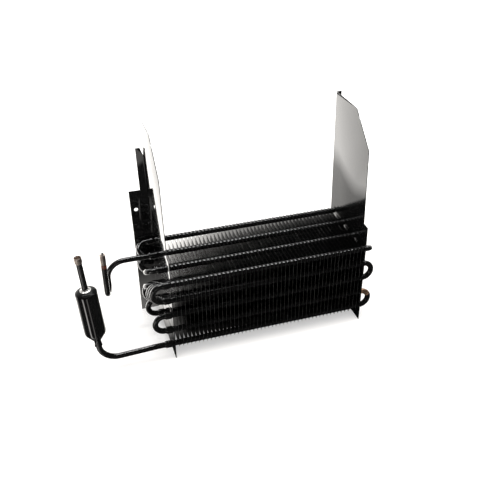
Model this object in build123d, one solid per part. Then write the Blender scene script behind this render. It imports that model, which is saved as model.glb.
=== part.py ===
from build123d import *
import math
import os

# A finned evaporator coil: hairpin tubes through a block of thin upright fins, held between two tall
# sheet-metal end plates. The left end has the brazed return bends, the suction pipe with its
# accumulator, and the inlet pipe. All sizes are in millimetres, +X to the right, +Y to the back.

# End plates. The left one has a wide folded flange with a screw hole, the right one a narrow flange.
plate_spacing = 283.0
sheet = 1.0
plate_height = 320.0
shoulder_height = 164.0
shoulder_depth = 12.0
slope_foot_depth = 14.0
slope_foot_height = 276.0
slope_top_depth = 58.0
fold_radius = 1.6

left_flange_width = 26.0
left_flange_height = 208.0
left_strip_width = 10.0
left_strip_height = 272.0
left_strip_cut_width = 3.6
left_strip_cut_height = 11.0
right_flange_width = 7.0
right_flange_height = 316.0

screw_hole_radius = 2.75
screw_hole_from_edge = 7.6
screw_hole_height = 178.0

# Tubes: seven staggered columns from front to back, rows counted from the top.
tube_radius = 4.05
plate_hole_clearance = 0.1
column_pitch = 19.05
row_pitch = 25.4
column_count = 7
long_column_rows = 5
bend_steps = 6

# Fins: flat sheets pressed onto the tubes.
fin_count = 48
fin_thickness = 0.25
fin_edge_to_tube_front = 5.0
fin_edge_to_tube_top = 4.9
fin_bottom_height = 18.8
fin_setback = 0.4

# The tube's route from the suction end to the inlet end, as (column, row) places. Each odd step is a
# hairpin bent at the right end, and each even step a return bend brazed on at the left end.
route = [
    (1, 5), (1, 4), (1, 3), (1, 2), (1, 1), (2, 1), (2, 2), (3, 3), (3, 2), (3, 1), (4, 1),
    (4, 2), (5, 3), (4, 3), (4, 4), (5, 4), (6, 3), (6, 2), (7, 2), (7, 1), (6, 1), (5, 1),
]

hairpin_straight_length = 1.0
socket_start = 0.4
socket_radius = 5.2
socket_length = 9.2
pipe_socket_length = 12.2
return_straight = 1.8
socket_to_flange = 0.1

# Suction pipe: out to the left, a large bend, then up into the accumulator on a slightly tilted axis.
suction_level_run = 12.0
suction_drop = 3.3
suction_drop_bend_radius = 60.0
suction_corner_x = -243.5
suction_bend_radius = 25.0
riser_tilt = 3.6

# Accumulator, along its own axis from the lower neck.
accumulator_neck_height = 47.0
accumulator_neck_radius = 5.3
accumulator_neck_length = 11.0
accumulator_radius = 14.3
accumulator_cone_length = 14.0
accumulator_body_length = 67.0
accumulator_dome_length = 3.0
accumulator_dome_radius = 8.5
accumulator_edge_cut = 2.0
solder_ring_radius = 7.4
solder_ring_height = 2.6

outlet_tube_length = 42.0
outlet_cup_radius = 4.9
outlet_cup_bore_radius = 4.15
outlet_cup_length = 9.0
outlet_cup_bore_depth = 7.5

# Inlet pipe: out to the left, down, a tight U towards the front and up to a bare end with a small tip.
inlet_corner_x = -216.0
inlet_elbow_radius = 25.0
inlet_u_height = 92.5
inlet_u_radius = 10.0
inlet_u_heading = 14.0
inlet_painted_top = 137.5
inlet_bare_length = 15.5
inlet_tip_radius = 2.0
inlet_tip_length = 4.0

half_spacing = plate_spacing / 2
left_face = -half_spacing - sheet
right_face = half_spacing + sheet
fin_depth = (column_count - 1) * column_pitch + 2 * fin_edge_to_tube_front
fin_height = (long_column_rows - 1) * row_pitch + 2 * fin_edge_to_tube_top
first_column_y = fin_setback + fin_edge_to_tube_front
top_row_z = fin_bottom_height + fin_height - fin_edge_to_tube_top
last_column_y = first_column_y + (column_count - 1) * column_pitch
plate_depth = last_column_y + socket_radius + socket_to_flange + sheet
left = Vector(-1, 0, 0)
right = Vector(1, 0, 0)
up = Vector(0, 0, 1)


def tube_place(column, row):
    """A tube's centre as (y, z). Even columns lie half a row lower."""
    drop = 0 if column % 2 else row_pitch / 2
    return first_column_y + column_pitch * (column - 1), top_row_z - drop - row_pitch * (row - 1)


def at(x, place):
    """The point on a tube's centreline at x."""
    return Vector(x, *tube_place(*place))


def rod(start, end, radius):
    """A round bar from one point to another."""
    run = end - start
    base = Plane(origin=start, z_dir=run)
    return base * Cylinder(radius, run.length, align=(Align.CENTER, Align.CENTER, Align.MIN))


def elbow(centre, arm, heading, turn, radius):
    """A bent tube: arm points from the bend's centre to its first ring, where the tube runs along heading."""
    steps = max(1, round(bend_steps * turn / 180))
    normal = arm.cross(heading).normalized()
    rings = []
    for step in range(steps + 1):
        angle = math.radians(turn * step / steps)
        spoke = arm * math.cos(angle) + heading * (arm.length * math.sin(angle))
        travel = heading * math.cos(angle) - arm.normalized() * math.sin(angle)
        rings.append(Plane(origin=centre + spoke, x_dir=normal, z_dir=travel) * Circle(radius))
    return loft(rings, ruled=True)


def u_bend(start, end, heading, radius):
    """Half a turn of tube from start to end, leaving start along heading."""
    return elbow((start + end) / 2, (start - end) / 2, heading, 180, radius)


def bent_tube(points, bend_radii, radius):
    """A tube along straight runs joined by tangent bends, one radius for each corner."""
    start = points[0]
    pieces = []
    for before, corner, after, bend_radius in zip(points, points[1:], points[2:], bend_radii):
        heading = (corner - before).normalized()
        leaving = (after - corner).normalized()
        turn = heading.get_angle(leaving)
        cut = bend_radius * math.tan(math.radians(turn / 2))
        bend_start = corner - heading * cut
        inward = (leaving - heading * heading.dot(leaving)).normalized()
        centre = bend_start + inward * bend_radius
        pieces.append(rod(start, bend_start, radius))
        pieces.append(elbow(centre, bend_start - centre, heading, turn, radius))
        start = corner + leaving * cut
    pieces.append(rod(start, points[-1], radius))
    return Part() + pieces


def plate_outline():
    """The end plate seen from the side, as (y, z), with a hole for each tube."""
    face = Polygon(
        (0, 0),
        (0, shoulder_height),
        (shoulder_depth, shoulder_height),
        (slope_foot_depth, slope_foot_height),
        (slope_top_depth, plate_height),
        (plate_depth, plate_height),
        (plate_depth, 0),
        align=None,
    )
    hole = Circle(tube_radius + plate_hole_clearance)
    return face - [Pos(*tube_place(*place)) * hole for place in route]


def plate_wall(inner_x):
    """The upright wall of an end plate, from the given x outwards to the right by one sheet."""
    return extrude(Plane.YZ.offset(inner_x) * plate_outline(), sheet, dir=(1, 0, 0))


def round_fold(plate, corner_x):
    """Rounds the outside of the fold between the wall and the rear flange."""
    corner = [
        edge
        for edge in plate.edges().filter_by(Axis.Z)
        if abs(edge.center().X - corner_x) < sheet / 4 and abs(edge.center().Y - plate_depth) < sheet / 4
    ]
    return fillet(corner, min(fold_radius, 0.9 * sheet))


def rear_flange(face):
    """A flange in the rear plane of the plates, from its outline as (x, z)."""
    rear = Plane(origin=(0, plate_depth, 0), x_dir=(1, 0, 0), z_dir=(0, -1, 0))
    return extrude(rear * face, sheet, dir=(0, -1, 0))


def left_end_plate():
    edge_x = left_face - left_flange_width
    strip_x = left_face - left_strip_width
    inner_x = left_face + sheet / 2
    cut_x = left_face - left_strip_cut_width
    face = Polygon(
        (inner_x, 0),
        (edge_x, 0),
        (edge_x, left_flange_height),
        (strip_x, left_flange_height),
        (strip_x, left_strip_height),
        (cut_x, left_strip_height),
        (left_face, left_strip_height - left_strip_cut_height),
        (inner_x, left_strip_height - left_strip_cut_height),
        align=None,
    )
    face -= Pos(edge_x + screw_hole_from_edge, screw_hole_height) * Circle(screw_hole_radius)
    plate = plate_wall(left_face) + rear_flange(face)
    return round_fold(plate, -half_spacing)


def right_end_plate():
    inner_x = right_face - sheet / 2
    edge_x = right_face + right_flange_width
    face = Polygon(
        (inner_x, 0),
        (edge_x, 0),
        (edge_x, right_flange_height),
        (inner_x, right_flange_height),
        align=None,
    )
    plate = plate_wall(half_spacing) + rear_flange(face)
    return round_fold(plate, half_spacing)


def fins():
    """All fins, evenly spaced between the plates."""
    pitch = plate_spacing / (fin_count + 1)
    middle_y = fin_setback + fin_depth / 2
    middle_z = fin_bottom_height + fin_height / 2
    fin = Box(fin_thickness, fin_depth, fin_height)
    return [Pos(-half_spacing + pitch * (k + 1), middle_y, middle_z) * fin for k in range(fin_count)]


def socket(place, length):
    """The widened tube end outside the left plate."""
    start_x = left_face - socket_start
    return rod(at(start_x, place), at(start_x - length, place), socket_radius)


def socket_end(length):
    return left_face - socket_start - length


def hairpin(first, second, first_length, second_length):
    """Two straight tubes joined by a bend past the right plate, with sockets at the left."""
    bend_x = right_face + hairpin_straight_length
    legs = []
    for place in (first, second):
        legs.append(rod(at(left_face - socket_start, place), at(bend_x, place), tube_radius))
    bend = u_bend(at(bend_x, first), at(bend_x, second), right, tube_radius)
    return legs[0] + [legs[1], bend, socket(first, first_length), socket(second, second_length)]


def return_bend(first, second):
    """The U brazed into two sockets at the left."""
    mouth_x = socket_end(socket_length)
    bend_x = mouth_x - return_straight
    stubs = [rod(at(mouth_x, place), at(bend_x, place), tube_radius) for place in (first, second)]
    bend = u_bend(at(bend_x, first), at(bend_x, second), left, tube_radius)
    return stubs[0] + [stubs[1], bend]


def riser():
    """The tilted axis of the accumulator: the lower neck's centre and the direction upwards."""
    tilt = math.radians(riser_tilt)
    direction = Vector(-math.sin(tilt), 0, math.cos(tilt))
    corner = Vector(suction_corner_x, first_column_y, tube_place(*route[0])[1] - suction_drop)
    neck = corner + direction * ((accumulator_neck_height - corner.Z) / direction.Z)
    return corner, neck, direction


def riser_plane(distance):
    """The plane across the accumulator's axis at a distance above its lower neck."""
    corner, neck, direction = riser()
    return Plane(origin=neck + direction * distance, x_dir=(0, 1, 0), z_dir=direction)


def suction_pipe():
    corner, neck, direction = riser()
    start = at(socket_end(pipe_socket_length), route[0])
    level = start + left * suction_level_run
    bends = [suction_drop_bend_radius, suction_bend_radius]
    return bent_tube([start, level, corner, neck], bends, tube_radius)


shoulder_at = accumulator_neck_length + accumulator_cone_length
dome_at = shoulder_at + accumulator_body_length
crown_at = dome_at + accumulator_dome_length


def accumulator():
    """A cylinder with a conical bottom and a shallow domed top."""
    profile = Plane.XZ * Polygon(
        (0, 0),
        (accumulator_neck_radius, 0),
        (accumulator_neck_radius, accumulator_neck_length),
        (accumulator_radius, shoulder_at),
        (accumulator_radius, dome_at),
        (accumulator_dome_radius, crown_at),
        (0, crown_at),
        align=None,
    )
    rims = profile.vertices().sort_by(Axis.X)[-2:]
    return riser_plane(0) * revolve(chamfer(rims, accumulator_edge_cut), Axis.Z)


def solder_ring():
    """The bright bead of solder round the outlet tube, on the accumulator's crown."""
    profile = Plane.XZ * Polygon(
        (tube_radius, 0),
        (solder_ring_radius, 0),
        (tube_radius, solder_ring_height),
        align=None,
    )
    return riser_plane(crown_at) * revolve(profile, Axis.Z)


def outlet_tube():
    return riser_plane(crown_at) * Cylinder(
        tube_radius, outlet_tube_length, align=(Align.CENTER, Align.CENTER, Align.MIN)
    )


def outlet_cup():
    """The bare, widened end that takes the suction line."""
    floor = outlet_cup_length - outlet_cup_bore_depth
    profile = Plane.XZ * Polygon(
        (0, 0),
        (outlet_cup_radius, 0),
        (outlet_cup_radius, outlet_cup_length),
        (outlet_cup_bore_radius, outlet_cup_length),
        (outlet_cup_bore_radius, floor),
        (0, floor),
        align=None,
    )
    return riser_plane(crown_at + outlet_tube_length) * revolve(profile, Axis.Z)


def inlet_turn():
    """The two ends of the inlet pipe's U: under the elbow, and under the front leg."""
    heading = math.radians(inlet_u_heading)
    across = Vector(-math.sin(heading), -math.cos(heading), 0) * (2 * inlet_u_radius)
    rear = Vector(inlet_corner_x, tube_place(*route[-1])[0], inlet_u_height)
    return rear, rear + across


def inlet_pipe():
    rear, front = inlet_turn()
    start = at(socket_end(pipe_socket_length), route[-1])
    corner = Vector(rear.X, rear.Y, start.Z)
    down = bent_tube([start, corner, rear], [inlet_elbow_radius], tube_radius)
    turn = u_bend(rear, front, -up, tube_radius)
    rise = rod(front, Vector(front.X, front.Y, inlet_painted_top), tube_radius)
    return down + [turn, rise]


def inlet_end():
    """The bare end of the inlet pipe."""
    rear, front = inlet_turn()
    base = Vector(front.X, front.Y, inlet_painted_top)
    return rod(base, base + up * inlet_bare_length, tube_radius)


def inlet_tip():
    """The narrow tip in the bare end."""
    rear, front = inlet_turn()
    base = Vector(front.X, front.Y, inlet_painted_top + inlet_bare_length)
    return rod(base, base + up * inlet_tip_length, inlet_tip_radius)


def solids_of(shape):
    """Every solid of a piece or a list of pieces."""
    if isinstance(shape, list):
        return [solid for piece in shape for solid in piece.solids()]
    return shape.solids()


parts = {
    "left_end_plate": left_end_plate(),
    "right_end_plate": right_end_plate(),
    "fins": fins(),
    "suction_pipe": suction_pipe(),
    "accumulator": accumulator(),
    "solder_ring": solder_ring(),
    "outlet_tube": outlet_tube(),
    "outlet_cup": outlet_cup(),
    "inlet_pipe": inlet_pipe(),
    "inlet_end": inlet_end(),
    "inlet_tip": inlet_tip(),
}

last = len(route) - 1
for index in range(0, last, 2):
    first_length = pipe_socket_length if index == 0 else socket_length
    second_length = pipe_socket_length if index + 1 == last else socket_length
    name = f"hairpin_{index // 2 + 1:02d}"
    parts[name] = hairpin(route[index], route[index + 1], first_length, second_length)

for index in range(1, last, 2):
    parts[f"return_bend_{index // 2 + 1:02d}"] = return_bend(route[index], route[index + 1])

# The origin is under the middle of the whole coil, on the surface that the end plates stand on.
whole = Compound(children=[Compound(solids_of(shape)) for shape in parts.values()])
box = whole.bounding_box()
to_origin = Pos(-box.center().X, -box.center().Y, -box.min.Z)

os.makedirs("parts", exist_ok=True)
for name, shape in parts.items():
    placed = Compound([to_origin * solid for solid in solids_of(shape)])
    export_step(placed, f"parts/{name}.step")
print("origin shift", to_origin.position)
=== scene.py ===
import math

import bmesh
import bpy
from mathutils import Matrix, Vector, noise


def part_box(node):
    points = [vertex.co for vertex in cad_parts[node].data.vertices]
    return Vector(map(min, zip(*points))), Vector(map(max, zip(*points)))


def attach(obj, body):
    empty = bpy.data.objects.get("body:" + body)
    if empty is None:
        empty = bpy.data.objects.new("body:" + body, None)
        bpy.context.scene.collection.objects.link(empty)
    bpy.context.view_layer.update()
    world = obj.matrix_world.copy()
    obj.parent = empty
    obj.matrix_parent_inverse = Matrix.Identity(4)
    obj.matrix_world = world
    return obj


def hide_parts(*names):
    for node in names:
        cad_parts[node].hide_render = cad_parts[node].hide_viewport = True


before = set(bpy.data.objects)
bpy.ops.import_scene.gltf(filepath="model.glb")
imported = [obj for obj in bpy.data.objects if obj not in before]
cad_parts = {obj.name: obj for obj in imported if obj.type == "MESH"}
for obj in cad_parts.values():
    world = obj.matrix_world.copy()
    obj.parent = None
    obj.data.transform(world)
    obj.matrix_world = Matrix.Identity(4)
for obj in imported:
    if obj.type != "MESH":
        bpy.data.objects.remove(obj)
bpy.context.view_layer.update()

# The coil is seen from its front left and from above, standing on a white table. A normal lens
# at a little under a metre takes in the whole coil, from the suction pipe to the right-hand bends.
camera_place = Vector((-0.2144, -0.7947, 0.6797))
camera_yaw = math.radians(18.49)
camera_pitch = math.radians(33.34)
camera_roll = math.radians(0.43)

camera_data = bpy.data.cameras.new("camera")
camera_data.lens = 50.05
camera_data.sensor_width = 36.0
camera_data.shift_x = -0.0162
camera_data.shift_y = -0.0112
camera = bpy.data.objects.new("camera", camera_data)
level_right = Vector((math.cos(camera_yaw), -math.sin(camera_yaw), 0))
forward = Vector((
    math.sin(camera_yaw) * math.cos(camera_pitch),
    math.cos(camera_yaw) * math.cos(camera_pitch),
    -math.sin(camera_pitch),
))
level_up = level_right.cross(forward)
view_right = level_right * math.cos(camera_roll) + level_up * math.sin(camera_roll)
view_up = view_right.cross(forward)
turn = Matrix((view_right, view_up, -forward)).transposed()
camera.matrix_world = Matrix.Translation(camera_place) @ turn.to_4x4()
bpy.context.scene.collection.objects.link(camera)
bpy.context.scene.camera = camera
bpy.context.scene.view_settings.view_transform = "Standard"


# The table is matt white and shows as plain white, with the coil's soft shadow on it and a painted shadow
# under the coil. Shiny parts mirror a painted reflection of the table: dark, bright at the back and dim in
# front, with two painted strips of light at the left.
class Wire:
    """A shader socket that Python's arithmetic works on: each step adds a Math node."""

    def __init__(self, socket):
        self.socket = socket

    def joined(self, operation, first, second=None, clamp=False):
        maths = self.socket.id_data.nodes.new("ShaderNodeMath")
        maths.operation = operation
        maths.use_clamp = clamp
        for slot, value in zip(maths.inputs, (first, second)):
            if value is not None:
                connect(value, slot)
        return Wire(maths.outputs[0])

    def __add__(self, other):
        return self.joined("ADD", self, other)

    def __radd__(self, other):
        return self.joined("ADD", other, self)

    def __sub__(self, other):
        return self.joined("SUBTRACT", self, other)

    def __rsub__(self, other):
        return self.joined("SUBTRACT", other, self)

    def __mul__(self, other):
        return self.joined("MULTIPLY", self, other)

    def __rmul__(self, other):
        return self.joined("MULTIPLY", other, self)

    def __truediv__(self, other):
        return self.joined("DIVIDE", self, other)

    def __rtruediv__(self, other):
        return self.joined("DIVIDE", other, self)

    def larger(self, other):
        return self.joined("MAXIMUM", self, other)

    def size(self):
        return self.joined("ABSOLUTE", self)

    def clamped(self):
        return self.joined("ADD", self, 0.0, clamp=True)

    def ramp(self, low, high):
        """0 below low, 1 above high, and even in between."""
        return ((self - low) / (high - low)).clamped()


def connect(value, slot):
    if isinstance(value, Wire):
        slot.id_data.links.new(value.socket, slot)
    else:
        slot.default_value = value


class Finish:
    """The shader nodes of a material or of the room."""

    def __init__(self, owner):
        self.owner = owner
        owner.use_nodes = True
        self.tree = owner.node_tree
        self.tree.nodes.clear()

    def node(self, kind, output=0, settings=None, **values):
        """Adds a node: its settings first, then its sockets' values. Names use _ for a space."""
        added = self.tree.nodes.new("ShaderNode" + kind)
        for key, setting in (settings or {}).items():
            setattr(added, key, setting)
        for key, value in values.items():
            slot = int(key[1:]) if key[0] == "_" else key.replace("_", " ")
            connect(value, added.inputs[slot])
        return Wire(added.outputs[output]) if added.outputs else None

    def place(self):
        """The point on the surface, in the coil's own metres."""
        return self.node("TexCoord", output="Object")

    def along(self, axis):
        return self.node("SeparateXYZ", output=axis, Vector=self.place())

    def away(self, point):
        """How far the surface is from a point."""
        settings = {"operation": "DISTANCE"}
        return self.node("VectorMath", output="Value", settings=settings, _0=self.place(), _1=point)

    def noise(self, stretch=(1, 1, 1), **values):
        """Noise in the coil's own metres, squeezed by a factor along each axis."""
        squeezed = self.node("Mapping", Vector=self.place(), Scale=stretch)
        return self.node("TexNoise", Vector=squeezed, **values)

    def height(self, amount, distance):
        return self.node("Bump", Height=amount, Distance=distance)

    def blend(self, factor, first, second):
        """A colour that goes from the first to the second."""
        mixed = self.tree.nodes.new("ShaderNodeMix")
        mixed.data_type = "RGBA"
        for slot, value in zip((0, 6, 7), (factor, first, second)):
            connect(value, mixed.inputs[slot])
        return Wire(mixed.outputs[2])

    def surface(self, shader):
        kind = "OutputWorld" if isinstance(self.owner, bpy.types.World) else "OutputMaterial"
        self.node(kind, Surface=shader)
        return self.owner


def seen_directly(finish):
    """Two masks: for what the camera sees directly or in a mirror, and for directly alone."""
    by_camera = finish.node("LightPath", output="Is Camera Ray")
    mirrored = finish.node("LightPath", output="Is Glossy Ray")
    through = finish.node("LightPath", output="Is Transmission Ray")
    return by_camera.larger(mirrored).larger(through), by_camera


def painted_light_strip(finish, aside, ahead, angle, half_width, strength):
    """A painted strip of glow on the table, seen only in mirrors, that runs away from a foot, at an angle in
    degrees from the front to the left.
    """
    heading = finish.node("Math", settings={"operation": "ARCTAN2"}, _0=aside, _1=ahead)
    off = (heading - math.radians(angle)).size()
    return (1 - off.ramp(math.radians(half_width * 0.6), math.radians(half_width))) * strength


coil_middle_x = 0.052
coil_half_length = 0.125
coil_front_y = -0.032
coil_back_y = 0.09
strip_foot_x = -0.196
strip_foot_y = -0.053
painted_highlight_strips = ((46, 8, 3.0), (5, 6, 0.9))
table_white = (0.66, 0.64, 0.62, 1)
table_painted_shadow = (0.03, 0.03, 0.03, 1)
painted_reflection_tint = (1, 0.975, 0.94, 1)
table_reach = 6.0

table = Finish(bpy.data.materials.new("table_white"))
seen, by_camera = seen_directly(table)
table_x = table.along("X")
table_y = table.along("Y")
beside = (table_x - coil_middle_x).size()
# Painted shadow: under the coil the table's colour goes nearly black and its glow is taken away.
painted_shadow_under_coil = (1 - beside.ramp(coil_half_length, coil_half_length + 0.025))
painted_shadow_under_coil = painted_shadow_under_coil * table_y.ramp(coil_front_y, coil_front_y + 0.026)
painted_shadow_under_coil = painted_shadow_under_coil * (1 - table_y.ramp(coil_back_y - 0.03, coil_back_y))
# Painted reflection: in mirrors the table glows, more at the back and to the left, not in front or under the
# coil, with two painted strips of light as highlights.
painted_glow_at_left = (0 - table_x).ramp(0.03, 0.12)
painted_reflection_glow = 0.8 + 0.4 * table_y.ramp(0.25, 0.6) + 1.9 * painted_glow_at_left
painted_reflection_glow = painted_reflection_glow * table_y.ramp(-0.02, 0.14) * (1 - painted_shadow_under_coil)
for angle, half_width, strength in painted_highlight_strips:
    painted_reflection_glow = painted_reflection_glow.larger(painted_light_strip(
        table, strip_foot_x - table_x, strip_foot_y - table_y, angle, half_width, strength))
camera_glow = (0.46 + 0.5 * table.away((0, 0, 0)).ramp(0.25, 0.6)) * (1 - 0.97 * painted_shadow_under_coil)
glow = table.node(
    "Emission", Color=table.blend(by_camera, painted_reflection_tint, (1, 1, 1, 1)),
    Strength=by_camera * camera_glow + (1 - by_camera) * painted_reflection_glow,
)
matt = table.node("BsdfDiffuse", Color=table.blend(painted_shadow_under_coil, table_white, table_painted_shadow))
shown = table.node("AddShader", _0=glow, _1=matt)
# In mirrors the table's own colour is nearly black: a painted dark reflection under the painted glow.
painted_dark_reflection = table.node("BsdfDiffuse", Color=(0.02, 0.02, 0.02, 1))
mirrored = table.node("AddShader", _0=glow, _1=painted_dark_reflection)
plain = table.node("BsdfDiffuse", Color=(0.8, 0.79, 0.78, 1))
beyond = table.node("MixShader", Fac=seen, _1=plain, _2=mirrored)
table.surface(table.node("MixShader", Fac=by_camera, _1=beyond, _2=shown))

table_mesh = bpy.data.meshes.new("table_top")
corners = [(x * table_reach, y * table_reach, 0) for x, y in ((-1, -1), (1, -1), (1, 1), (-1, 1))]
table_mesh.from_pydata(corners, [], [(0, 1, 2, 3)])
table_mesh.materials.append(table.owner)
table_top = bpy.data.objects.new("table_top", table_mesh)
bpy.context.scene.collection.objects.link(table_top)


# The room is white to the camera, dim in front and bright at the back in mirrors, and grey as light.
# A wide lamp hangs over the front left, and two narrow ones give the tubes their bright lines.
room_light = 0.55
bpy.context.scene.world = bpy.data.worlds.new("room")
room = Finish(bpy.context.scene.world)
seen, by_camera = seen_directly(room)
heading = room.node("TexCoord", output="Generated")
to_back = room.node("SeparateXYZ", output="Y", Vector=heading)
mirrored_room = 0.02 + to_back.ramp(0.2, 0.5) * (1.0 + 0.4 * to_back.ramp(0.62, 0.78))
strength = by_camera.larger((seen - by_camera) * mirrored_room).larger((1 - seen) * room_light)
room.surface(room.node("Background", Color=(1, 1, 1, 1), Strength=strength))


def lamp(name, place, target, width, length, power, mirrored=True):
    """A soft oblong lamp that the camera doesn't see. Shiny parts may mirror it."""
    data = bpy.data.lights.new(name, "AREA")
    data.shape = "RECTANGLE"
    data.size = width
    data.size_y = length
    data.energy = power
    light = bpy.data.objects.new(name, data)
    aim = (Vector(target) - Vector(place)).to_track_quat("-Z", "Y").to_matrix().to_4x4()
    light.matrix_world = Matrix.Translation(place) @ aim
    light.visible_camera = False
    light.visible_glossy = mirrored
    bpy.context.scene.collection.objects.link(light)


lamp("overhead_lamp", (-0.1, -0.25, 1.7), (0.0, 0.0, 0.0), 1.6, 1.6, 26, mirrored=False)
lamp("back_lamp", (0.1, 0.55, 1.45), (0.0, 0.0, 0.1), 0.9, 0.22, 5)
lamp("strip_lamp", (0.3, 0.0, 1.5), (0.3, 0.0, 0.0), 2.4, 0.1, 14)


# Two end plates of 1 mm steel, each folded once at the back and dipped in a gloss black coat. The
# left one's flange has the screw hole and a narrow strip above it. They carry the whole coil.
dull_reach = 0.0135
dull_shine = 0.12


def black_coat(name, shade, roughness, grain, dulled=None):
    """Gloss black, slightly uneven as a dipped coat is. Heat may have dulled it round one place."""
    finish = Finish(bpy.data.materials.new(name))
    cloud = finish.noise(Scale=38.0, Detail=4.0, Roughness=0.6)
    peel = finish.noise(Scale=grain, Detail=2.0)
    dust = finish.noise(Scale=900.0, Detail=3.0).ramp(0.66, 0.85)
    tone = (cloud.ramp(0.35, 0.7) * 0.5 + dust * 0.25).clamped()
    dusty = [1.8 * part + 0.001 for part in shade]
    rough = roughness + 0.05 * cloud.ramp(0.4, 0.75) + 0.05 * dust
    shine = 1.0
    if dulled is not None:
        outside = finish.away(dulled).ramp(dull_reach, dull_reach + 0.002)
        shine = dull_shine + (1 - dull_shine) * outside
        rough = rough + 0.35 * (1 - shine)
    skin = finish.node(
        "BsdfPrincipled",
        Base_Color=finish.blend(tone, (*shade, 1), (*dusty, 1)),
        Roughness=rough,
        Normal=finish.height(peel, 0.00001),
        Specular_IOR_Level=0.1,
        Coat_Weight=shine,
        Coat_Roughness=0.04,
        Coat_IOR=1.7,
    )
    return finish.surface(skin)


plate_coat = black_coat("plate_coat", (0.004, 0.004, 0.004), 0.14, 220.0)
plate_top = 0.32
lean_start = 0.134
left_lean = 0.0032
right_lean = 0.0045
slope_top_y = -0.00055
rear_y = 0.06745
top_fall = 0.004
right_flange_top = 0.316
right_flange_rise = 0.0032
level_with = 0.0002
edge_easing = 0.00018


def placed(mesh, name, material, node):
    """Puts a mesh in the scene as the piece that stands for one of the coil's parts."""
    mesh.shade_smooth()
    mesh.set_sharp_from_angle(angle=math.radians(38))
    mesh.materials.clear()
    mesh.materials.append(material)
    made = bpy.data.objects.new(name, mesh)
    bpy.context.scene.collection.objects.link(made)
    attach(made, "root")
    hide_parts(node)
    return made


def standing_plate(node, lean, flange_rise):
    """An end plate as it stands: over the fins it leans to the left, and its top falls to the back."""
    form = bmesh.new()
    form.from_mesh(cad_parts[node].data)
    bmesh.ops.remove_doubles(form, verts=form.verts[:], dist=1e-6)
    whole = form.verts[:] + form.edges[:] + form.faces[:]
    bmesh.ops.bisect_plane(form, geom=whole, plane_co=(0, 0, lean_start), plane_no=(0, 0, 1))
    for vertex in form.verts:
        place = vertex.co
        if abs(place.z - right_flange_top) < level_with:
            place.z += flange_rise
        elif place.z > plate_top - level_with:
            place.z -= top_fall * max(0.0, (place.y - slope_top_y) / (rear_y - slope_top_y))
        place.x -= lean * max(0.0, place.z - lean_start) / (plate_top - lean_start)
    mesh = bpy.data.meshes.new(node + "_sheet")
    form.to_mesh(mesh)
    form.free()
    plate = placed(mesh, node + "_sheet", plate_coat, node)
    eased = plate.modifiers.new("eased_edges", "BEVEL")
    eased.width = edge_easing
    eased.segments = 2
    eased.limit_method = "ANGLE"
    eased.angle_limit = math.radians(50)


standing_plate("left_end_plate", left_lean, 0.0)
standing_plate("right_end_plate", right_lean, right_flange_rise)


# Forty-eight fins of thin aluminium sheet, black all over. Each has a hole with a short drawn collar
# for every tube, and the tubes are widened inside the collars so that the fins stay where they are.
middle_x = 0.0524232
front_y = -0.05855
plate_gap = 0.283
sheet = 0.001
column_pitch = 0.01905
row_pitch = 0.0254
first_column_y = front_y + 0.0054
top_row_z = 0.1253
tube_radius = 0.00403
tube_sides = 32
tube_places = [
    (1, 5), (1, 4), (1, 3), (1, 2), (1, 1), (2, 1), (2, 2), (3, 3), (3, 2), (3, 1), (4, 1),
    (4, 2), (5, 3), (4, 3), (4, 4), (5, 4), (6, 3), (6, 2), (7, 2), (7, 1), (6, 1), (5, 1),
]
fin_count = 48
fin_thickness = 0.00025
fin_wave = 0.00028
fin_held_edge = 0.01
collar_radius = 0.00438
collar_reach = 0.0028
collar_sides = 18
wobble_grain = 600
left_face = middle_x - plate_gap / 2 - sheet
right_face = middle_x + plate_gap / 2 + sheet
right = Vector((1, 0, 0))
left = Vector((-1, 0, 0))
up = Vector((0, 0, 1))


def at(x, place):
    """The point at x on the centreline of the tube in a column and row. Even columns lie lower."""
    column, row = place
    drop = 0 if column % 2 else row_pitch / 2
    y = first_column_y + column_pitch * (column - 1)
    return Vector((x, y, top_row_z - drop - row_pitch * (row - 1)))


def round_steps(sides):
    return [2 * math.pi * k / sides for k in range(sides)]


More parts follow.
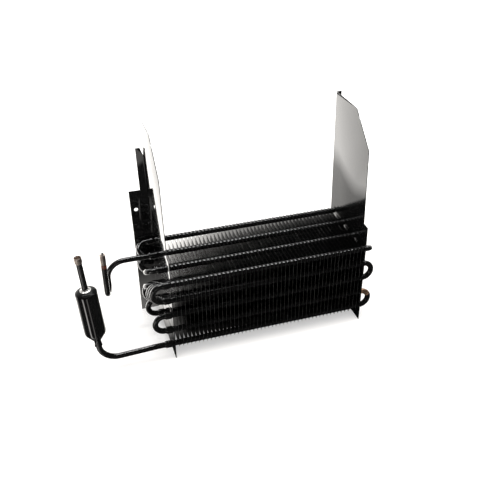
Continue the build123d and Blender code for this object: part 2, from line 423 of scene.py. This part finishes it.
class Surface:
    """Points and faces that are gathered into one piece."""

    def __init__(self):
        self.points = []
        self.faces = []

    def strip(self, rings, closed=True):
        """Joins rings of points, each to the next, and may close the first and last."""
        start, around = len(self.points), len(rings[0])
        for ring in rings:
            self.points.extend(ring)
        for k in range(len(rings) - 1):
            low = start + k * around
            for j in range(around):
                beside = (j + 1) % around
                self.faces.append((low + j, low + beside, low + around + beside, low + around + j))
        if closed:
            last = start + (len(rings) - 1) * around
            self.faces.append(tuple(reversed(range(start, start + around))))
            self.faces.append(tuple(range(last, last + around)))

    def turned(self, base, axis, profile, sides=tube_sides, wobble=0.0, closed=True):
        """A round form about an axis, from (distance, radius) pairs, slightly uneven by wobble."""
        axis = axis.normalized()
        across = axis.orthogonal().normalized()
        beside = axis.cross(across)
        rings = []
        for distance, radius in profile:
            centre = base + axis * distance
            ring = []
            for angle in round_steps(sides):
                spoke = across * math.cos(angle) + beside * math.sin(angle)
                bulge = 0.0
                if wobble:
                    bulge = wobble * noise.noise((centre + spoke * radius) * wobble_grain)
                ring.append(centre + spoke * (radius + bulge))
            rings.append(ring)
        self.strip(rings, closed)

    def swept(self, path, radii):
        """A tube along a path of points, with a radius at each of them, or one for all."""
        if not isinstance(radii, list):
            radii = [radii] * len(path)
        ends = [path[0]] + path + [path[-1]]
        runs = [(after - before).normalized() for before, after in zip(ends, ends[2:])]
        across = runs[0].orthogonal().normalized()
        rings = []
        for k, (point, run, radius) in enumerate(zip(path, runs, radii)):
            if k:
                across.rotate(runs[k - 1].rotation_difference(run))
            across = (across - run * across.dot(run)).normalized()
            beside = run.cross(across)
            rings.append([
                point + (across * math.cos(angle) + beside * math.sin(angle)) * radius
                for angle in round_steps(tube_sides)
            ])
        self.strip(rings)

    def piece(self, name, material, node):
        """Makes the mesh, and puts it in the scene in place of one part of the coil, which is hidden."""
        mesh = bpy.data.meshes.new(name)
        mesh.from_pydata(self.points, [], self.faces)
        return placed(mesh, name, material, node)


def fin_sheet(low, high):
    """One fin's sheet as points and faces in its own plane: a filled outline with the tube holes."""
    drawing = bpy.data.curves.new("fin_drawing", "CURVE")
    drawing.dimensions = "2D"
    drawing.fill_mode = "BOTH"
    drawing.extrude = fin_thickness / 2
    outlines = [[(low.y, low.z), (high.y, low.z), (high.y, high.z), (low.y, high.z)]]
    for place in tube_places:
        centre = at(0, place)
        outlines.append([
            (centre.y + collar_radius * math.cos(angle), centre.z + collar_radius * math.sin(angle))
            for angle in round_steps(collar_sides)
        ])
    for outline in outlines:
        spline = drawing.splines.new("POLY")
        spline.points.add(len(outline) - 1)
        for point, (y, z) in zip(spline.points, outline):
            point.co = (y, z, 0, 1)
        spline.use_cyclic_u = True
    drawn = bpy.data.objects.new("fin_drawing", drawing)
    flat = bpy.data.meshes.new_from_object(drawn)
    points = [Vector((vertex.co.z, vertex.co.x, vertex.co.y)) for vertex in flat.vertices]
    faces = [tuple(face.vertices) for face in flat.polygons]
    bpy.data.objects.remove(drawn)
    bpy.data.meshes.remove(flat)
    return points, faces


fin_low, fin_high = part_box("fins")
sheet_points, sheet_faces = fin_sheet(fin_low, fin_high)
fin_pitch = plate_gap / (fin_count + 1)
collar = [
    (0.0, collar_radius + 0.0006), (0.00025, collar_radius + 0.0002),
    (0.0007, collar_radius), (collar_reach, collar_radius), (collar_reach, tube_radius),
]
block = Surface()
for count in range(fin_count):
    fin_x = middle_x - plate_gap / 2 + fin_pitch * (count + 1)
    start = len(block.points)
    for point in sheet_points:
        wave = 0
        if 0 < count < fin_count - 1:
            lean = noise.noise(Vector((count * 7.3, point.y * 14, point.z * 9)))
            from_edge = min(abs(point.z - fin_low.z), abs(fin_high.z - point.z))
            held = min(1.0, from_edge / fin_held_edge)
            wave = fin_wave * lean * (1.3 - 0.8 * held)
        block.points.append(point + Vector((fin_x + wave, 0, 0)))
    block.faces.extend(tuple(start + index for index in face) for face in sheet_faces)
    for place in tube_places:
        block.turned(at(fin_x, place), right, collar, sides=collar_sides, closed=False)

fin_finish = Finish(bpy.data.materials.new("fin_coat"))
facing = fin_finish.node("NewGeometry", output="Normal")
sideways = fin_finish.node("SeparateXYZ", output="X", Vector=facing).size().ramp(0.2, 0.6)
cloud = fin_finish.noise(Scale=60.0, Detail=4.0)
edge_glint_streaks = fin_finish.noise(Scale=500.0, Detail=3.0, stretch=(1, 1, 0.15))
depth = fin_finish.along("Y")
front_edge = (1 - sideways) * (1 - depth.ramp(front_y + 0.0003, front_y + 0.0006))
at_rear = depth.ramp(0.030, 0.046)
near_top = fin_finish.along("Z").ramp(0.085, 0.11)
fin_black = (0.002, 0.002, 0.002, 1)
fin_dusty = (0.004, 0.004, 0.004, 1)
# The fins' front edges get a streaky grey: a painted highlight where the thin edges catch the light.
fin_edge_glint = (0.12, 0.12, 0.115, 1)
dark = fin_finish.blend(cloud.ramp(0.3, 0.7), fin_black, fin_dusty)
skin = fin_finish.node(
    "BsdfPrincipled",
    Base_Color=fin_finish.blend(front_edge * edge_glint_streaks.ramp(0.3, 0.7) * 0.7, dark, fin_edge_glint),
    Roughness=0.14 + 0.06 * cloud.ramp(0.35, 0.75) + 0.4 * front_edge,
    Normal=fin_finish.height(cloud, 0.00003),
    Specular_IOR_Level=0.12,
    Coat_Weight=0.4 * at_rear * near_top * sideways,
    Coat_Roughness=0.06,
    Coat_IOR=1.9,
)
fin_coat = fin_finish.surface(skin)
block.piece("fin_block", fin_coat, "fins")


# Eleven hairpins of copper tube, bent at the right-hand end and pushed through the plates from
# there. Their open ends at the left are widened into sockets, and black coat covers them all.
bend_rise = 0.001
bend_steps = 30
socket_start = 0.0004
socket_radius = 0.0052
socket_length = 0.0092
pipe_socket_length = 0.0122
socket_base_x = left_face - socket_start


def arc(centre, arm, direction, angle, steps):
    """Points round a bend: arm points from its centre to the start, where it runs along direction."""
    points = []
    for k in range(steps + 1):
        turned = math.radians(angle * k / steps)
        points.append(centre + arm * math.cos(turned) + direction * (arm.length * math.sin(turned)))
    return points


def spaced(start, end, step=0.006):
    """Points along a straight run, without its last one."""
    count = max(1, round((end - start).length / step))
    return [start.lerp(end, k / count) for k in range(count)]


def half_turn(start, end, direction):
    """Points round a bend that sets off along direction and comes straight back."""
    return arc((start + end) / 2, (start - end) / 2, direction, 180, bend_steps)


def there_and_back(end_x, bend_x, first, second, direction, step):
    """A path along one tube place, round a half turn at bend_x, and back along another."""
    start, end = at(bend_x, first), at(bend_x, second)
    path = spaced(at(end_x, first), start, step) + half_turn(start, end, direction)
    return path + list(reversed(spaced(at(end_x, second), end, step)))


def worn_coat(name, bare, browned, wavy):
    """The tubes' black coat: worn to the copper at one place, browned at another, wavy at a third."""
    finish = Finish(bpy.data.materials.new(name))
    cloud = finish.noise(Scale=70.0, Detail=4.0, Roughness=0.6)
    peel = finish.noise(Scale=420.0, Detail=2.0)
    bands = finish.noise(Scale=160.0, Detail=2.0, stretch=(0.25, 1, 1))
    wave = finish.noise(Scale=230.0, Detail=1.0)
    at_bare, at_browned, at_wavy = [
        1 - finish.away(middle).ramp(reach * 0.6, reach) for middle, reach in (bare, browned, wavy)
    ]
    rubbed = at_bare * (cloud + 0.25).ramp(0.5, 0.66)
    brown = at_browned * (0.5 + cloud).clamped()
    tone = finish.blend(cloud.ramp(0.35, 0.7), (0.002, 0.002, 0.002, 1), (0.005, 0.0049, 0.0047, 1))
    tone = finish.blend(brown, tone, (0.12, 0.035, 0.018, 1))
    copper = finish.blend(bands.ramp(0.3, 0.7), (0.55, 0.36, 0.24, 1), (0.34, 0.2, 0.12, 1))
    skin = finish.node(
        "BsdfPrincipled",
        Base_Color=finish.blend(rubbed, tone, copper),
        Metallic=rubbed * 0.9,
        Roughness=0.12 + 0.06 * bands.ramp(0.35, 0.7) + 0.12 * rubbed,
        Normal=finish.height(peel + 0.6 * bands + 40.0 * wave * at_wavy, 0.000015),
        Specular_IOR_Level=0.3,
        Coat_Weight=0.85 * (1 - rubbed),
        Coat_Roughness=0.05,
        Coat_IOR=1.7,
    )
    return finish.surface(skin)


tube_coat = worn_coat(
    "tube_coat",
    bare=((right_face + 0.008, first_column_y, 0.0495), 0.0095),
    browned=((-0.1684, 0.0036, 0.1375), 0.0085),
    wavy=((-0.2035, first_column_y, 0.175), 0.03),
)


def socket(surface, place, length):
    """A tube end widened into a socket, with a rolled mouth and a bead of brazing metal in it."""
    profile = [
        (0.0, tube_radius), (0.0002, socket_radius - 0.0004), (0.0009, socket_radius - 0.00005),
        (0.002, socket_radius), (length - 0.0014, socket_radius - 0.0001),
        (length - 0.0006, socket_radius), (length - 0.0002, socket_radius - 0.0002),
        (length, socket_radius - 0.0006), (length + 0.0007, tube_radius + 0.0003),
        (length + 0.0012, tube_radius),
    ]
    surface.turned(at(socket_base_x, place), left, profile, wobble=0.00012)


pipe_places = (tube_places[0], tube_places[-1])
for number, (first, second) in enumerate(zip(tube_places[0::2], tube_places[1::2]), 1):
    tube = Surface()
    tube.swept(there_and_back(socket_base_x, right_face + bend_rise, first, second, right, 0.02), tube_radius)
    for place in (first, second):
        socket(tube, place, pipe_socket_length if place in pipe_places else socket_length)
    name = f"hairpin_{number:02d}"
    tube.piece(f"{name}_tube", tube_coat, name)


# Ten return bends of the same tube, brazed into the sockets at the left-hand end. They lead the
# refrigerant from each hairpin to the next, and are black like the rest.
return_straight = 0.0018
mouth_x = socket_base_x - socket_length
for number, (first, second) in enumerate(zip(tube_places[1::2], tube_places[2::2]), 1):
    bend = Surface()
    bend.swept(there_and_back(mouth_x, mouth_x - return_straight, first, second, left, 0.0009), tube_radius)
    name = f"return_bend_{number:02d}"
    bend.piece(f"{name}_tube", tube_coat, name)


# The suction pipe leaves the lowest front tube, drops a little and turns up into the accumulator,
# which catches liquid. Pipe and accumulator are brazed copper and steel under a high-gloss black.
pipe_mouth_x = socket_base_x - pipe_socket_length
suction_level_run = 0.012
suction_drop = 0.0033
suction_corner_x = middle_x - 0.2435
suction_drop_bend = 0.06
suction_bend = 0.025
riser_tilt = math.radians(3.6)
neck_height = 0.047
neck_radius = 0.0053
neck_length = 0.011
shell_radius = 0.0143
cone_length = 0.014
shell_length = 0.067
dome_length = 0.003


def bent_path(corners, radii):
    """A path along straight runs, with a round bend at each inner corner."""
    points, start = [], corners[0]
    for before, corner, after, radius in zip(corners, corners[1:], corners[2:], radii):
        arriving = (corner - before).normalized()
        leaving = (after - corner).normalized()
        angle = arriving.angle(leaving)
        cut = radius * math.tan(angle / 2)
        bend_start = corner - arriving * cut
        inward = (leaving - arriving * arriving.dot(leaving)).normalized()
        centre = bend_start + inward * radius
        points += spaced(start, bend_start)
        steps = max(3, round(math.degrees(angle) / 6))
        points += arc(centre, bend_start - centre, arriving, math.degrees(angle), steps)[:-1]
        start = corner + leaving * cut
    return points + spaced(start, corners[-1]) + [corners[-1]]


riser_up = Vector((-math.sin(riser_tilt), 0, math.cos(riser_tilt)))
suction_mouth = at(pipe_mouth_x, tube_places[0])
suction_level = suction_mouth + left * suction_level_run
suction_corner = Vector((suction_corner_x, suction_mouth.y, suction_mouth.z - suction_drop))
neck = suction_corner + riser_up * ((neck_height - suction_corner.z) / riser_up.z)

suction = Surface()
corners = [suction_mouth, suction_level, suction_corner, neck]
suction.swept(bent_path(corners, [suction_drop_bend, suction_bend]), tube_radius)
suction.piece("suction_line", tube_coat, "suction_pipe")

cone_top = neck_length + cone_length
dome_base = cone_top + shell_length
crown = dome_base + dome_length
crown_place = neck + riser_up * crown
accumulator_coat = black_coat(
    "accumulator_coat", (0.002, 0.002, 0.002), 0.1, 150.0, dulled=crown_place)
vessel = Surface()
profile = [
    (0.0, tube_radius), (0.0002, neck_radius - 0.0003), (0.0006, neck_radius),
    (0.0022, neck_radius), (0.003, neck_radius - 0.0006), (neck_length - 0.002, neck_radius - 0.0006),
    (neck_length, neck_radius), (neck_length + 0.0015, neck_radius + 0.0010),
    (cone_top - 0.003, shell_radius - 0.0019), (cone_top - 0.0015, shell_radius - 0.0009),
    (cone_top, shell_radius - 0.0004), (cone_top + 0.002, shell_radius),
]
profile += [(cone_top + 0.002 + (shell_length - 0.004) * k / 12, shell_radius) for k in range(1, 13)]
profile += [
    (dome_base - 0.0009, shell_radius - 0.0002), (dome_base, shell_radius - 0.0008),
    (dome_base + 0.0008, shell_radius - 0.0019), (dome_base + 0.0018, shell_radius - 0.0036),
    (crown - 0.0004, shell_radius - 0.0048), (crown, shell_radius - 0.0066),
]
vessel.turned(neck, riser_up, profile, sides=64)
vessel.piece("accumulator_shell", accumulator_coat, "accumulator")


# Above the accumulator stands its outlet tube, in a bright bead of solder. The black tube ends in
# a bare copper cup, into which the suction line is brazed.
bead_radius = 0.0074
bead_height = 0.0026
outlet_length = 0.042
cup_radius = 0.0049
cup_bore = 0.00415
cup_length = 0.009
cup_bore_depth = 0.0075


def bright_metal(name, pale, deep, tarnish, grain):
    """Bare metal: paler where it is rubbed, darker where it has tarnished, with fine scratches."""
    finish = Finish(bpy.data.materials.new(name))
    cloud = finish.noise(Scale=grain, Detail=4.0, Roughness=0.65)
    scratch = finish.noise(Scale=1800.0, Detail=2.0, stretch=(1, 1, 0.12))
    stain = cloud.ramp(0.45, 0.75)
    colour = finish.blend(scratch.ramp(0.3, 0.7) * 0.6, (*pale, 1), (*deep, 1))
    skin = finish.node(
        "BsdfPrincipled",
        Base_Color=finish.blend(stain * 0.7, colour, (*tarnish, 1)),
        Metallic=1.0 - 0.35 * stain,
        Roughness=0.22 + 0.2 * cloud + 0.1 * scratch,
        Normal=finish.height(cloud + 0.3 * scratch, 0.00012),
    )
    return finish.surface(skin)


solder = bright_metal("solder", (0.86, 0.85, 0.82), (0.6, 0.59, 0.57), (0.2, 0.17, 0.13), 420.0)
bead = Surface()
bead.turned(crown_place, riser_up, [
    (0.0, tube_radius), (0.0, bead_radius - 0.0003), (0.0003, bead_radius - 0.0001),
    (0.0007, bead_radius - 0.0011), (0.0013, tube_radius + 0.0013), (0.0019, tube_radius + 0.0006),
    (bead_height, tube_radius),
], sides=40, wobble=0.00022)
bead.piece("solder_bead", solder, "solder_ring")

outlet = Surface()
outlet_top = crown_place + riser_up * outlet_length
outlet.swept(spaced(crown_place, outlet_top, 0.002) + [outlet_top], tube_radius)
outlet.piece("outlet_tube_black", tube_coat, "outlet_tube")

bare_copper = bright_metal(
    "bare_copper", (0.66, 0.58, 0.52), (0.38, 0.3, 0.25), (0.12, 0.09, 0.07), 260.0)
cup_floor = cup_length - cup_bore_depth
cup = Surface()
cup.turned(outlet_top, riser_up, [
    (0.0, tube_radius), (0.0006, tube_radius + 0.0004), (0.0016, cup_radius - 0.0001),
    (0.0024, cup_radius), (cup_length - 0.0003, cup_radius), (cup_length, cup_radius - 0.0002),
    (cup_length, cup_bore + 0.0002), (cup_length - 0.0002, cup_bore), (cup_floor, cup_bore),
], sides=40)
cup.piece("outlet_cup_copper", bare_copper, "outlet_cup")


# The inlet pipe leaves the rear upper tube, turns down, makes a tight U towards the front and rises
# again. Its black coat ends in a heat-browned band, then bare copper with a small silver tip.
inlet_corner_x = middle_x - 0.216
inlet_elbow = 0.025
inlet_u_height = 0.0925
inlet_u_radius = 0.010
inlet_u_heading = math.radians(14.0)
inlet_black_top = 0.1375
inlet_bare_length = 0.0155
inlet_tip_radius = 0.002
inlet_tip_length = 0.004

inlet_mouth = at(pipe_mouth_x, tube_places[-1])
elbow_corner = Vector((inlet_corner_x, inlet_mouth.y, inlet_mouth.z))
rear = Vector((inlet_corner_x, inlet_mouth.y, inlet_u_height))
to_front = Vector((-math.sin(inlet_u_heading), -math.cos(inlet_u_heading), 0))
front = rear + to_front * (2 * inlet_u_radius)
front_top = Vector((front.x, front.y, inlet_black_top))
path = bent_path([inlet_mouth, elbow_corner, rear], [inlet_elbow])[:-1]
path += half_turn(rear, front, -up)
path += spaced(front, front_top)[1:] + [front_top]
inlet = Surface()
inlet.swept(path, tube_radius)
inlet.piece("inlet_line", tube_coat, "inlet_pipe")

bare_top = front_top + up * inlet_bare_length
bare = Surface()
bare.swept(
    spaced(front_top, bare_top, inlet_bare_length / 10) + [bare_top, bare_top],
    [tube_radius] * 10 + [tube_radius - 0.0002, tube_radius - 0.0008],
)
bare.piece("inlet_bare_end", bare_copper, "inlet_end")

tip = Surface()
tip.turned(bare_top, up, [
    (0.0, inlet_tip_radius), (0.0012, inlet_tip_radius), (0.0028, inlet_tip_radius - 0.0002),
    (0.0036, inlet_tip_radius - 0.0007), (inlet_tip_length, inlet_tip_radius - 0.0014),
], sides=24, wobble=0.0001)
tip.piece("inlet_silver_tip", solder, "inlet_tip")
